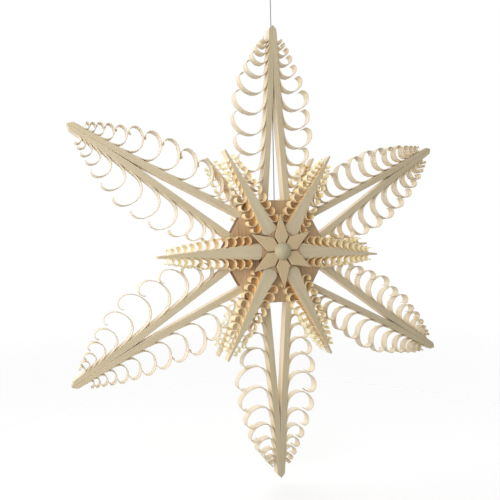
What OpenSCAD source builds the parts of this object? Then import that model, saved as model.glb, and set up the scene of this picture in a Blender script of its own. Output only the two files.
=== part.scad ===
// Wood shaving star: a six-rayed hanging star of split and shaved limewood.
// The star hangs in the XZ plane with its front towards -Y. The origin is the
// point of the thread loop where a hook or nail carries it.

/* [Outer rays] */
// Distance from the middle of the star to the point of an outer ray
tip_r = 200; // [170:1:240]
// Width over both spars of a ray at its point
tip_w = 7; // [5:0.1:10]
// Width of one spar at its foot, seen from the front
spar_w = 5.8; // [4.5:0.1:8]
// Length of the glued seam between the two spars, from the point
seam_l = 34; // [24:1:50]
// Length of the fine slit below the seam, where the spars start to part
slit_l = 21; // [10:1:40]
// Width of the slit at its lower end
slit_w = 0.5; // [0.3:0.1:1]
// Clear gap between the two spars of a ray where they stand on the hub
foot_gap = 15.6; // [11:0.1:20]
// How far the spars lie below the faces of the hub
spar_recess = 0.25; // [0.1:0.05:1]

/* [Shavings of the outer rays] */
// Reach of the longest shaving away from its spar
shaving_reach = 29.5; // [20:0.5:36]
// Reach of the shaving nearest the point
shaving_reach_tip = 5.5; // [4:0.1:8]
// Reach that the row falls back to at the hub
shaving_reach_foot = 9; // [6:0.5:14]
// Length of spar at the point that carries no shaving
shaving_tip_bare = 9; // [6:0.5:20]
// Length of spar at the hub that carries no shaving
shaving_foot_bare = 12; // [8:0.5:30]
// Distance to the next shaving, per millimetre of reach
shaving_pitch = 0.62; // [0.58:0.01:0.8]
// Thickness of a shaving where it leaves the spar
shaving_t = 0.75; // [0.4:0.05:0.9]

/* [Hub] */
// Width of the hexagonal hub across its flats
hub_w = 90; // [76:1:110]
// Thickness of the hub
hub_t = 9; // [7:0.5:14]
// Diameter of the dowel through the middle of the star
dowel_d = 6; // [4:0.5:8]

/* [Inner stars] */
// Distance from the middle of the star to the end of an inner ray
inner_r = 103; // [85:1:120]
// Width of an inner ray at its foot
inner_foot_w = 14.6; // [11:0.1:17]
// Width of an inner ray at its end
inner_end_w = 1.5; // [1.2:0.1:3]
// How hollow the edges of an inner ray are, where 1 is straight
inner_hollow = 1.05; // [1:0.05:1.6]
// Rounding of the two corners of an inner ray's foot
inner_foot_round = 4; // [2:0.5:5]
// Depth of an inner ray and of its core, from front to back
inner_depth = 8; // [6:0.5:12]
// Width of the hexagonal core across its flats
core_w = 36; // [34:1:46]
// Turn of the back star against the front one, as glued up by eye
back_turn = 3.4; // [0:0.1:6]

/* [Shavings of the inner rays] */
// Reach of the longest shaving away from its ray
frill_reach = 8.8; // [6:0.1:10]
// Reach of the shaving nearest the end
frill_reach_end = 4.8; // [3:0.1:6]
// Reach that the row falls back to at the core
frill_reach_foot = 7.2; // [4:0.1:8]
// Length of ray at its end that carries no shaving
frill_end_bare = 8; // [6:0.5:25]
// Length of ray at the core that carries no shaving
frill_foot_bare = 9; // [4:0.5:15]
// Distance to the next shaving, per millimetre of reach
frill_pitch = 0.85; // [0.78:0.01:1]
// Thickness of a shaving where it leaves the ray
frill_t = 0.5; // [0.3:0.05:0.7]

/* [Petals and buttons] */
// Distance from the middle of the star to the point of a petal
petal_r = 32.5; // [27:0.5:40]
// Distance from the middle of the star to the shoulders of a petal
petal_shoulder_r = 14.4; // [12:0.1:18]
// Thickness of a petal
petal_t = 2.5; // [1.2:0.1:3.5]
// Saw gap between neighbouring petals
petal_gap = 1.3; // [0.5:0.1:2]
// Turn of the petals against their star, as glued on by eye
petal_turn = 2.7; // [0:0.1:6]
// Diameter of a turned button
button_d = 15.6; // [13:0.1:19]
// Height of a turned button
button_h = 5.2; // [4.5:0.1:7]
// Height of the straight rim of a turned button
button_rim = 0.8; // [0.4:0.1:1.4]
// Depth of the blind hole in the button that takes the dowel
button_bore = 2.6; // [1.5:0.1:3]

/* [Thread] */
// Diameter of the hanging thread
thread_d = 1; // [0.6:0.1:1.4]
// Length of free thread between the top point and the knot
thread_free = 36; // [20:1:80]
// Depth of the thread hole in the hub
thread_hole = 10; // [6:0.5:16]
// Diameter of the knot
knot_d = 3.2; // [2.6:0.1:4.5]
// Height of the knot
knot_h = 4; // [3:0.1:6]

/* [Fits] */
// Thickness of a glue line between two pieces
glue = 0.05; // [0.02:0.01:0.1]
// Room round the dowel in its holes
dowel_room = 0.05; // [0.02:0.01:0.1]
// Room round the thread in its holes
thread_room = 0.3; // [0.2:0.05:0.5]

/* [Hidden] */
$fn = 64;

hub_r = hub_w / 2;
spar_depth = hub_t - 2 * spar_recess;
dowel_bore_r = dowel_d / 2 + dowel_room;
thread_bore_r = thread_d / 2 + thread_room;

// Levels in front of the middle plane
inner_level = hub_t / 2 + glue;
petal_level = inner_level + inner_depth + glue;
button_level = petal_level + petal_t + glue;
dowel_end = button_level + button_bore - glue;

// The loop is a list of points chosen by hand, from the knot up and round
LOOP_ROUTE = [
  [-0.8, 0, -24], [-1.3, 0, -22], [-2.2, 0, -19.5], [-3.2, 0, -16.5], [-4, 0, -13.5],
  [-4.5, 0, -10.5], [-4.6, 0, -7.5], [-4.1, 0, -4.5], [-2.8, 0, -1.8], [-1, 0, 0.2],
  [1, 0, 0.2], [2.8, 0, -1.8], [4.1, 0, -4.5], [4.6, 0, -7.5], [4.5, 0, -10.5],
  [4, 0, -13.5], [3.2, 0, -16.5], [2.2, 0, -19.5], [1.3, 0, -22], [0.8, 0, -24]
];
knot_top = LOOP_ROUTE[0].z - glue;
knot_bottom = knot_top - knot_h;
star_z = knot_bottom - thread_free - tip_r;

// The thread runs straight up the middle of the top ray
THREAD_STEPS = 16;
thread_top = knot_bottom - glue;
thread_foot = star_z + hub_r - thread_hole + glue;
THREAD_ROUTE = [for (i = [0 : THREAD_STEPS])
  [0, 0, thread_foot + (thread_top - thread_foot) * i / THREAD_STEPS]];

// Each row of a shaving's bend is a turn in degrees and a radius for a
// shaving that is drawn at size one. The bend starts along the wood.
SHAVING_BEND = [[12, 0.9], [78, 0.46], [45, 0.62], [45, 0.36], [80, 0.2], [50, 0.1]];
FRILL_BEND = [[14, 0.6], [76, 0.4], [50, 0.5], [50, 0.32], [60, 0.22]];
// The last rows of the bend are the hook at the free end of a shaving
HOOK_ROWS = 2;
SHAVING_FACET = 26;
FRILL_FACET = 46;
ROOT_ANGLE = 4;

// Where along its row, from the end to the core, a small shaving is longest
FRILL_FULLEST = 0.68;
// Below one, the row stays full for longer before it falls away
SWELL_POWER = 0.9;
// How far one shaving's reach strays from the smooth swell of its row
REACH_STRAY = 0.06;
// How much thinner a shaving is at its free end than at its root
END_THINNING = 0.35;

// Places on the star are named by the hours of a clock face
HOUR_TURN = 30;
HOURS = [12, 2, 4, 6, 8, 10];
INNER_HOURS = [1, 3, 5, 7, 9, 11];
HANDS = ["left", "right"];
SIDES = ["front", "back"];

// Cut by hand, in the order of HOURS and HANDS: the longest shaving of a spar
// as a share of the set reach, where along the row from the point to the hub it
// sits, and how far the free ends hook inwards
SPAR_ROWS = [
  [[1.05, 0.54, 0.6], [0.97, 0.54, 0.9]],
  [[0.88, 0.6, 1], [0.95, 0.5, 1.1]],
  [[0.85, 0.52, 1.25], [0.89, 0.5, 1]],
  [[0.95, 0.54, 1.2], [1, 0.47, 1.1]],
  [[0.9, 0.66, 0.9], [1.06, 0.54, 1]],
  [[0.95, 0.54, 0.5], [0.92, 0.54, 0.8]]
];

// Glued up by eye, in the order of SIDES and INNER_HOURS: the length of an inner
// ray as a share of the set one, and how far it leans clockwise, in degrees
INNER_RAYS = [
  [[0.96, 0.8], [0.97, 2.5], [1.02, 2.5], [1.01, -0.8], [1.05, -1.6], [0.96, -0.4]],
  [[0.93, 0.2], [0.98, 0], [1, 0], [1.01, 4.1], [1.02, 1.4], [0.98, -3.3]]
];

// Helpers

// A repeatable value from -1 to 1, which makes no two shavings alike
function wobble(a, b) =
  let (v = sin(a * 127.1 + b * 311.7) * 43758.5453) 2 * (v - floor(v)) - 1;

// Every row of shavings has a seed of its own
function spar_seed(hour, hand) = hour + (hand == "left" ? 0.5 : 0);
function ray_seed(side, hour) = hour + (side == "front" ? 20 : 40);

function hour_angle(hour) = -HOUR_TURN * hour;

// The star is drawn flat, with its front upwards, and then hung up
module hang() translate([0, 0, star_z]) rotate([90, 0, 0]) children();

// A child that points along +Y is turned to its hour on the star
module at_hour(hour) rotate([0, 0, hour_angle(hour)]) children();

// What is drawn for the front star is mirrored and turned for the back one
module on_side(side) {
  if (side == "front") hang() children();
  else hang() rotate([0, 0, back_turn]) mirror([0, 0, 1]) children();
}

module hexagon(w) circle(r = w / sqrt(3), $fn = 6);

// Shavings

// The turn and the radius of every short step along a bend
function bend_steps(bend, facet) = [
  for (row = bend)
    let (n = ceil(row[0] / facet))
    for (k = [1 : n]) [row[0] / n, row[1]]
];

// Points along a bend as [x outwards, y along the wood, heading]
function bend_path(steps) = [
  for (
    i = 0, a = ROOT_ANGLE, p = [0, 0];
    i <= len(steps);
    s = i < len(steps) ? steps[i] : [0, 0],
    p = p + 2 * s[1] * sin(s[0] / 2) * [sin(a + s[0] / 2), cos(a + s[0] / 2)],
    a = a + s[0],
    i = i + 1
  ) [p.x, p.y, a]
];

function bend_reach(path) = max([for (q = path) q.x]);

// A bend whose hook turns more or less than drawn
function hooked(bend, strength) = [
  for (i = [0 : len(bend) - 1])
    [bend[i][0] * (i < len(bend) - HOOK_ROWS ? 1 : strength), bend[i][1]]
];

// Outline of a shaving with a given reach and thickness, thinner to its end
function shaving_outline(path, reach, t) =
  let (
    k = reach / bend_reach(path),
    n = len(path) - 1,
    half = [for (i = [0 : n]) t * (1 - END_THINNING * i / n) / 2],
    side = [for (q = path) [cos(q[2]), -sin(q[2])]],
    mid = [for (q = path) [q.x * k, q.y * k]]
  )
  concat(
    [for (i = [0 : n]) mid[i] + half[i] * side[i]],
    [for (i = [n : -1 : 0]) mid[i] - half[i] * side[i]]
  );

// Places and reaches of a row of shavings between two distances from a point.
// The reach swells from one end of the row to its fullest part and falls again.
function row_reach(x, tip, foot, high, fullest) =
  let (
    base = tip + (foot - tip) * x,
    swell = x < fullest ? x / fullest / 2 : 0.5 + (x - fullest) / (1 - fullest) / 2
  )
  base + (high - base) * pow(max(sin(180 * swell), 0), SWELL_POWER);

function shaving_row(from, to, tip, foot, high, fullest, pitch, seed) = [
  for (
    i = 0, u = from, r = tip;
    u < to;
    i = i + 1,
    u = u + pitch * r,
    x = min((u - from) / (to - from), 1),
    r = row_reach(x, tip, foot, high * (1 + REACH_STRAY * wobble(seed, i)), fullest)
  ) [u, r]
];

// Shavings on the right-hand edge of a strip that runs along +Y. Each place is
// [x, y, lean of the edge there, reach].
module shavings(places, path, t) {
  for (p = places)
    translate([p[0] - t / 2, p[1]])
      rotate(p[2])
        mirror([0, 1])
          polygon(shaving_outline(path, p[3], t));
}

// Outer rays

spar_foot_x = foot_gap / 2 + spar_w;
spar_foot_y = hub_r + glue;
spar_shoulder_y = tip_r - tip_w / 2;
spar_lean = atan((spar_foot_x - tip_w / 2) / (spar_shoulder_y - spar_foot_y));
spar_length = (spar_shoulder_y - spar_foot_y) / cos(spar_lean);
seam_y = tip_r - seam_l;

function spar_places(row) = [
  for (s = row)
    [tip_w / 2 + s[0] * sin(spar_lean), spar_shoulder_y - s[0] * cos(spar_lean), spar_lean, s[1]]
];

// One spar with its shavings, the right-hand one of a ray that points along +Y
module spar_outline(hour, hand) {
  polygon([
    [glue / 2, tip_r - glue / 2],
    [tip_w / 2, spar_shoulder_y],
    [spar_foot_x, spar_foot_y],
    [spar_foot_x - spar_w, spar_foot_y],
    [slit_w / 2, seam_y - slit_l],
    [glue / 2, seam_y]
  ]);
  cut = SPAR_ROWS[search(hour, HOURS)[0]][search([hand], HANDS)[0]];
  row = shaving_row(shaving_tip_bare, spar_length - shaving_foot_bare, shaving_reach_tip,
    shaving_reach_foot, shaving_reach * cut[0], cut[1], shaving_pitch, spar_seed(hour, hand));
  bend = hooked(SHAVING_BEND, cut[2]);
  shavings(spar_places(row), bend_path(bend_steps(bend, SHAVING_FACET)), shaving_t);
}

module spar(hour, hand) {
  color("wheat")
    hang()
      at_hour(hour)
        difference() {
          mirror([hand == "left" ? 1 : 0, 0, 0])
            translate([0, 0, -spar_depth / 2])
              linear_extrude(spar_depth) spar_outline(hour, hand);
          if (hour == 12)
            rotate([-90, 0, 0]) cylinder(r = thread_bore_r, h = tip_r + tip_w);
        }
}

// Hub and dowel

module hub() {
  color("tan")
    hang()
      difference() {
        translate([0, 0, -hub_t / 2]) linear_extrude(hub_t) hexagon(hub_w);
        cylinder(r = dowel_bore_r, h = 2 * hub_t, center = true);
        translate([0, hub_r - thread_hole, 0])
          rotate([-90, 0, 0]) cylinder(r = thread_bore_r, h = 2 * thread_hole);
      }
}

module centre_dowel() {
  color("burlywood")
    hang()
      translate([0, 0, -dowel_end]) cylinder(d = dowel_d, h = 2 * dowel_end);
}

// Inner stars

core_r = core_w / 2;
inner_foot_y = core_r + glue;
RAY_STEPS = 8;
FOOT_STEPS = 4;

// The right-hand edge of an inner ray by the distance from its end: how far it
// lies to the side and how it leans. The end of the ray sways to that side.
function ray_side(u, length, sway) =
  sway * (1 - u / length)
    + (inner_end_w + (inner_foot_w - inner_end_w) * pow(u / length, inner_hollow)) / 2;
function ray_lean(u, length, sway) =
  atan(((inner_foot_w - inner_end_w) / 2 * inner_hollow * pow(u / length, inner_hollow - 1) - sway)
    / length);

// The edge from the end down to the foot and round the foot's corner
function ray_edge(length, sway) =
  let (
    straight = length - inner_foot_round,
    corner_x = ray_side(straight, length, sway) - inner_foot_round
  )
  concat(
    [for (i = [0 : RAY_STEPS])
      let (u = straight * i / RAY_STEPS)
      [ray_side(u, length, sway), inner_foot_y + length - u]],
    [for (i = [1 : FOOT_STEPS])
      let (a = 90 * i / FOOT_STEPS)
      [corner_x, inner_foot_y + inner_foot_round] + inner_foot_round * [cos(a), -sin(a)]]
  );

function ray_places(row, length, sway) = [
  for (s = row)
    [ray_side(s[0], length, sway), inner_foot_y + length - s[0], ray_lean(s[0], length, sway), s[1]]
];

module core(side) {
  color("tan")
    on_side(side)
      translate([0, 0, inner_level])
        linear_extrude(inner_depth)
          difference() {
            rotate(HOUR_TURN) hexagon(core_w);
            circle(r = dowel_bore_r);
          }
}

// One inner ray, pointing along +Y, with a frill of small shavings on both edges
module inner_outline(ray, seed) {
  end = inner_r * ray[0] * [sin(ray[1]), cos(ray[1])];
  length = end.y - inner_foot_y;
  left = ray_edge(length, -end.x);
  polygon(concat(
    ray_edge(length, end.x),
    [for (i = [len(left) - 1 : -1 : 0]) [-left[i].x, left[i].y]]
  ));
  for (hand = [0, 1])
    mirror([hand, 0]) {
      sway = hand == 0 ? end.x : -end.x;
      row = shaving_row(frill_end_bare, length - frill_foot_bare, frill_reach_end,
        frill_reach_foot, frill_reach, FRILL_FULLEST, frill_pitch, seed + hand / 2);
      shavings(ray_places(row, length, sway), bend_path(bend_steps(FRILL_BEND, FRILL_FACET)), frill_t);
    }
}

module inner_ray(side, hour) {
  ray = INNER_RAYS[search([side], SIDES)[0]][search(hour, INNER_HOURS)[0]];
  color("wheat")
    on_side(side)
      at_hour(hour)
        translate([0, 0, inner_level])
          linear_extrude(inner_depth) inner_outline(ray, ray_seed(side, hour));
}

// Petals and buttons

// A kite whose two inner edges leave the saw gap to the neighbouring petals
module petal(side, hour) {
  gap = petal_gap / 2;
  shoulder = petal_shoulder_r * [sin(HOUR_TURN), cos(HOUR_TURN)]
    - gap * [cos(HOUR_TURN), -sin(HOUR_TURN)];
  color("burlywood")
    on_side(side)
      at_hour(hour)
        translate([0, 0, petal_level])
          rotate(petal_turn)
            linear_extrude(petal_t)
              difference() {
                polygon([
                  [0, gap / sin(HOUR_TURN)], [shoulder.x, shoulder.y],
                  [0, petal_r], [-shoulder.x, shoulder.y]
                ]);
                circle(r = dowel_bore_r);
              }
}

module button(side) {
  rise = button_h - button_rim;
  dome_r = (pow(button_d / 2, 2) + pow(rise, 2)) / (2 * rise);
  color("tan")
    on_side(side)
      translate([0, 0, button_level])
        difference() {
          intersection() {
            cylinder(d = button_d, h = button_h);
            translate([0, 0, button_h - dome_r]) sphere(r = dome_r);
          }
          translate([0, 0, -button_bore]) cylinder(r = dowel_bore_r, h = 2 * button_bore);
        }
}

// Thread

// A tube of eight sides along a route that stays in the XZ plane
module tube(route, d) {
  sides = 8;
  last = len(route) - 1;
  rings = [
    for (i = [0 : last])
      let (
        ahead = route[min(i + 1, last)] - route[max(i - 1, 0)],
        run = i == 0 || i == last ? [0, 0, sign(ahead.z)] : ahead / norm(ahead),
        across = [run.z, 0, -run.x]
      )
      for (k = [0 : sides - 1])
        route[i] + d / 2 * (cos(360 * k / sides) * across + sin(360 * k / sides) * [0, 1, 0])
  ];
  walls = [
    for (i = [0 : last - 1], k = [0 : sides - 1])
      let (n = (k + 1) % sides)
      [i * sides + k, i * sides + n, (i + 1) * sides + n, (i + 1) * sides + k]
  ];
  polyhedron(rings, concat(
    walls,
    [[for (k = [sides - 1 : -1 : 0]) k]],
    [[for (k = [0 : sides - 1]) last * sides + k]]
  ));
}

module hanging_thread() color("gray") tube(THREAD_ROUTE, thread_d);

module thread_loop() color("gray") tube(LOOP_ROUTE, thread_d);

// Two turns of thread drawn tight, as a turned body with a waist
module loop_knot() {
  turn_r = knot_h / 4;
  color("dimgray")
    translate([0, 0, knot_bottom])
      rotate_extrude() {
        square([knot_d / 2 - turn_r, knot_h]);
        for (i = [1, 3])
          intersection() {
            translate([knot_d / 2 - turn_r, i * turn_r]) circle(r = turn_r);
            square([knot_d, knot_h]);
          }
      }
}

// Nodes

hub();
centre_dowel();
for (hour = HOURS, hand = HANDS)
  spar(hour, hand);
for (side = SIDES) {
  core(side);
  for (hour = INNER_HOURS)
    inner_ray(side, hour);
  for (hour = HOURS)
    petal(side, hour);
  button(side);
}
hanging_thread();
loop_knot();
thread_loop();
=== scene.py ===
"""Wood shaving star: the finish of every piece of a hanging star of split and shaved limewood."""

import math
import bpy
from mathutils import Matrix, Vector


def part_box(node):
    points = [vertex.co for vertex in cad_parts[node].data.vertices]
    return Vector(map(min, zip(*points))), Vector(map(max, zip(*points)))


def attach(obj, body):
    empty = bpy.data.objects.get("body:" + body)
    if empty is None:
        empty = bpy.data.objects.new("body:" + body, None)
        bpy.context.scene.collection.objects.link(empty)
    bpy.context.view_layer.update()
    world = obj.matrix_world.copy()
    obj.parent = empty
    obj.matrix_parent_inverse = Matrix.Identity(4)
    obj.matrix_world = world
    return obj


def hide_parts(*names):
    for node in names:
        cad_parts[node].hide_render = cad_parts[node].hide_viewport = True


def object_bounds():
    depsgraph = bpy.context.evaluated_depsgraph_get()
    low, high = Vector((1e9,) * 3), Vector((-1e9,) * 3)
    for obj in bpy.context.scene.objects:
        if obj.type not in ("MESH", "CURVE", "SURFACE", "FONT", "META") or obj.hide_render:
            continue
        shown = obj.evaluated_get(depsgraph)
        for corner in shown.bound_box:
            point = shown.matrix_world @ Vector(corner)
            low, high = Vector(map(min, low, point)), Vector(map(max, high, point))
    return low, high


bl_info = {
    "name": "Wood Shaving Star",
    "version": (1, 0, 0),
    "blender": (4, 5, 0),
    "location": "View3D > Sidebar > Star",
    "description": "Makes the shaved, turned and knotted pieces of a hanging wooden star",
    "category": "Object",
}

from dataclasses import dataclass

import bmesh
import bpy
from bpy.props import FloatProperty, FloatVectorProperty, PointerProperty
from mathutils import Matrix, Vector

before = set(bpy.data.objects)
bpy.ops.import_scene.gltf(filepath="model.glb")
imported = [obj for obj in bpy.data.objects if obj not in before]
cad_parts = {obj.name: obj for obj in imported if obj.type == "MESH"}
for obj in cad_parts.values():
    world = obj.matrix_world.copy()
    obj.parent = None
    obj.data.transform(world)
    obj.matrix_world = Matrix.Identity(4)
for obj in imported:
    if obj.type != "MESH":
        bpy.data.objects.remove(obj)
CAD_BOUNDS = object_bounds()

MM = 0.001

# The hub lies in the middle of the star
HUB_LOW, HUB_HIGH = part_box("hub")
STAR_Z = (HUB_LOW.z + HUB_HIGH.z) / 2

# Places on the star are named by the hours of a clock face
HOURS = (12, 2, 4, 6, 8, 10)
INNER_HOURS = (1, 3, 5, 7, 9, 11)
HANDS = ("left", "right")
SIDES = ("front", "back")
HOUR_TURN = math.radians(30)

# Cut by hand: for the left and right spar of each ray, its longest shaving as a share
# of the set reach, where along the row it sits, and how far the free ends hook inwards
SPAR_ROWS = {
    12: ((1.05, 0.54, 0.6), (0.97, 0.54, 0.9)),
    2: ((0.88, 0.6, 1.0), (0.95, 0.5, 1.1)),
    4: ((0.85, 0.52, 1.25), (0.89, 0.5, 1.0)),
    6: ((0.95, 0.54, 1.2), (1.0, 0.47, 1.1)),
    8: ((0.9, 0.66, 0.9), (1.06, 0.54, 1.2)),
    10: ((0.95, 0.54, 0.5), (0.92, 0.54, 1.2)),
}

# Glued up by eye: the length of each inner ray as a share of the set one, and how far
# it leans clockwise, in degrees
INNER_RAYS = {
    "front": {
        1: (0.96, 0.8), 3: (0.97, 2.5), 5: (1.02, 2.5),
        7: (1.01, -0.8), 9: (1.05, -1.6), 11: (0.96, -0.4),
    },
    "back": {
        1: (0.93, 0.2), 3: (0.98, 0), 5: (1, 0),
        7: (1.01, 4.1), 9: (1.02, 1.4), 11: (0.98, -3.3),
    },
}

# Each row of a shaving's bend is a turn in degrees and a radius for a shaving that is
# drawn at size one. The bend leaves the wood at the root angle, turns by one facet at
# most with each step, and its last rows make the hook.
SHAVING_BEND = ((12, 0.9), (78, 0.46), (45, 0.62), (45, 0.36), (80, 0.2), (50, 0.1))
FRILL_BEND = ((14, 0.6), (76, 0.4), (50, 0.5), (50, 0.32), (60, 0.22))
SHAVING_FACET = 9
FRILL_FACET = 14
ROOT_ANGLE = 4
HOOK_ROWS = 2
HOOK_STRAY = 0.22

# Shape of a row of shavings from the point of its strip to the hub
FRILL_FULLEST = 0.68
SWELL_POWER = 0.9
REACH_STRAY = 0.06
NOTCH_SHARE = 0.45

# How one shaving differs from a straight strip rolled up. The wave of its edges turns by
# so many radians from root to end.
CONE_STRAY = 0.012
SKEW_STRAY = 0.6 * MM
SKEW_POWER = 1.5
NARROWING = 0.07
EDGE_WAVE = 0.012
EDGE_WAVE_TURN = 9
EDGE_WEAR = 0.3
END_THINNING = 0.55
END_ROUNDING = 0.8

# Shares of painted shade on a shaving: in its hollow beside the hub, what the hollow
# loses towards the free end, on the outer side, in the root, where it is gone after a
# step or two, and on the cut edge. Towards the point of the strip it falls by a power.
HOLLOW_SHADE = 1.0
HOLLOW_SHADE_FADE = 0.6
CONVEX_SHADE = 0.45
ROOT_SHADE = 0.45
ROOT_SHADE_FADE = 1 / 3
EDGE_SHADE = 1 / 3
SHADE_POWER = 1.6

# Material slots of a strip: its faces, its long edges, the bent sides of the shavings,
# the notches under them and their cut edges
FACE, EDGE, SHAVING, NOTCH, CUT_EDGE = range(5)

# Edges that turn by more than this stay crisp
SHARP_ANGLE = math.radians(32)

# Keeps the mitre of a very acute corner from running far into the wood
SHARPEST_MITRE = 0.3

# Numbers that make no two strips alike: where the seeds of each group start, where the
# shavings of a ray's second edge start, and how far a seed shifts the grain
RAY_SEEDS = {"front": 20, "back": 40}
PETAL_SEEDS = {"front": 60, "back": 80}
PETAL_SEED_SIZE = 9 * MM
SECOND_EDGE = 100
GRAIN_SHIFT = (0.37, 0.11)

# The bare point of a strip has a rim point at these shares of its length
TIP_POINTS = (0.3, 0.6)

# Length and width of the markings of limewood, in millimetres. Its fibres are really
# about a tenth of a millimetre wide and are drawn coarser, so that they show.
STREAKS = (80, 1.6)
CLOUDS = (34, 9)
FIBRES = (14, 0.7)

# Fibres of linen, also drawn coarser than the real fiftieth of a millimetre
LINEN_FIBRES = (2.5, 0.18)

# Rays of beech as they show on a dowel
BEECH_FLECKS = (8.333, 0.4545)

# Year rings of spruce and how far they sway
SPRUCE_RING = 2.3
SPRUCE_SWAY = 1.6
SPRUCE_SWAYS = (30, 6)

# The surround is brightest behind the star: where its light comes from, and how its
# level grows with the share of that direction
BRIGHT_SIDE = Vector((0.05, 0.95, 0.2)).normalized()
SURROUND_LEVEL = {"From Min": 0.1, "From Max": 0.9, "To Min": 0.1, "To Max": 2.5}

# Each lamp's place from the middle of the star and its width and height, in metres,
# and its power in watts
LAMPS = {
    "lamp on the left": ((-0.52, -0.38, 0.09), (0.9, 0.56), 5.0),
    "lamp on the right": ((0.75, -0.42, 0.8), (0.4, 0.4), 2.6),
}

# The floor, in metres: half its width, and how it gets clearer from near the star to far
# off, so that it fades to white
FLOOR_HALF = 4.0
FLOOR_FADE = {"From Min": 0.25, "From Max": 1.1, "To Min": 0.55, "To Max": 1.0}

# Width of the camera's sensor, in millimetres
SENSOR_WIDTH = 36

# The loop's points from the knot up and round, in millimetres
LOOP_ROUTE = (
    (-0.8, -24), (-1.3, -22), (-2.2, -19.5), (-3.2, -16.5), (-4, -13.5),
    (-4.5, -10.5), (-4.6, -7.5), (-4.1, -4.5), (-2.8, -1.8), (-1, 0.2),
    (1, 0.2), (2.8, -1.8), (4.1, -4.5), (4.6, -7.5), (4.5, -10.5),
    (4, -13.5), (3.2, -16.5), (2.2, -19.5), (1.3, -22), (0.8, -24),
)

# Steps along the straight thread, and how far apart the points of a finished cord are
THREAD_STEPS = 16
ROUTE_STEP = 0.4 * MM


def linear(code):
    """A colour in linear light, with alpha, from its sRGB hex code."""
    parts = [int(code[i : i + 2], 16) / 255 for i in (1, 3, 5)]
    return (*(c / 12.92 if c <= 0.04045 else ((c + 0.055) / 1.055) ** 2.4 for c in parts), 1.0)


def size(name, description, millimetres):
    """A length that is written in millimetres and kept in metres."""
    return FloatProperty(
        name=name, description=description, default=millimetres * MM, min=0, precision=5, unit="LENGTH"
    )


def angle(name, description, degrees):
    """An angle that is written in degrees and kept in radians."""
    return FloatProperty(
        name=name, description=description, default=math.radians(degrees), subtype="ANGLE"
    )


def share(name, description, value):
    """A plain number."""
    return FloatProperty(name=name, description=description, default=value, min=0)


def colour(name, description, code):
    """A colour that is written as its sRGB hex code."""
    return FloatVectorProperty(
        name=name, description=description, default=linear(code), size=4, min=0, max=1, subtype="COLOR"
    )


# Sizes and colours


class OuterRaySizes(bpy.types.PropertyGroup):
    """Sizes of the two spars of an outer ray and of their shavings."""

    tip_radius: size("Tip radius", "From the middle of the star to the point of a ray", 200)
    tip_width: size("Tip width", "Width over both spars at the point", 7)
    spar_width: size("Spar width", "Width of one spar at its foot", 5.8)
    spar_depth: size("Spar depth", "Depth of a spar from front to back", 8.5)
    foot_gap: size("Foot gap", "Clear gap between two spars where they stand on the hub", 15.6)
    seam_length: size("Seam length", "Length of the glued seam from the point", 34)
    slit_length: size("Slit length", "Length of the fine slit below the seam", 21)
    slit_width: size("Slit width", "Width of the slit at its lower end", 0.5)
    bevel: size("Bevel", "Worn edge of a spar", 0.22)
    reach: size("Reach", "Reach of the longest shaving away from its spar", 29.5)
    tip_reach: size("Tip reach", "Reach of the shaving nearest the point", 5.5)
    foot_reach: size("Foot reach", "Reach that the row falls back to at the hub", 9)
    tip_bare: size("Tip bare", "Length at the point that carries no shaving", 9)
    foot_bare: size("Foot bare", "Length at the hub that carries no shaving", 12)
    thickness: size("Thickness", "Thickness of a shaving where it leaves the spar", 0.75)
    pitch: share("Pitch", "Distance to the next shaving, as a share of the reach", 0.62)


class InnerRaySizes(bpy.types.PropertyGroup):
    """Sizes of an inner ray and of its frill of small shavings."""

    end_radius: size("End radius", "From the middle of the star to the end of a ray", 103)
    foot_width: size("Foot width", "Width of a ray at its foot", 14.6)
    end_width: size("End width", "Width of a ray at its end", 1.5)
    foot_round: size("Foot round", "Rounding of the corners of a ray's foot", 4)
    depth: size("Depth", "Depth of a ray from front to back", 8)
    core_width: size("Core width", "Width of the hexagonal core across its flats", 36)
    bevel: size("Bevel", "Worn edge of a ray", 0.2)
    reach: size("Reach", "Reach of the longest shaving away from its ray", 8.8)
    tip_reach: size("End reach", "Reach of the shaving nearest the end", 4.8)
    foot_reach: size("Foot reach", "Reach that the row falls back to at the core", 7.2)
    tip_bare: size("End bare", "Length at the end that carries no shaving", 8)
    foot_bare: size("Foot bare", "Length at the core that carries no shaving", 9)
    thickness: size("Thickness", "Thickness of a shaving where it leaves the ray", 0.5)
    pitch: share("Pitch", "Distance to the next shaving, as a share of the reach", 0.85)
    hollow: share("Hollow", "How hollow the edges of a ray are, where 1 is straight", 1.05)
    back_turn: angle("Back turn", "Turn of the back star against the front one", 3.4)


class CentreSizes(bpy.types.PropertyGroup):
    """Sizes of the hub, the petals and the turned buttons."""

    hub_width: size("Hub width", "Width of the hexagonal hub across its flats", 90)
    hub_thickness: size("Hub thickness", "Thickness of the hub", 9)
    hub_bevel: size("Hub bevel", "Worn edge of the hub", 0.35)
    bore: size("Bore", "Diameter of the hole for the dowel", 6.1)
    petal_radius: size("Petal radius", "From the middle of the star to the point of a petal", 32.5)
    shoulder_radius: size("Shoulder radius", "From the middle to the shoulders of a petal", 14.4)
    petal_thickness: size("Petal thickness", "Thickness of a petal", 2.5)
    petal_turn: angle("Petal turn", "Turn of the petals against their star", 2.7)
    petal_gap: size("Petal gap", "Saw gap between neighbouring petals", 1.3)
    petal_bevel: size("Petal bevel", "Sanded edge of a petal", 0.3)
    button_width: size("Button width", "Diameter of a turned button", 15.6)
    button_height: size("Button height", "Height of a turned button", 5.2)
    button_rim: size("Button rim", "Height of the straight rim of a button", 0.8)
    glue: size("Glue", "Thickness of a glue line", 0.05)


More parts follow.
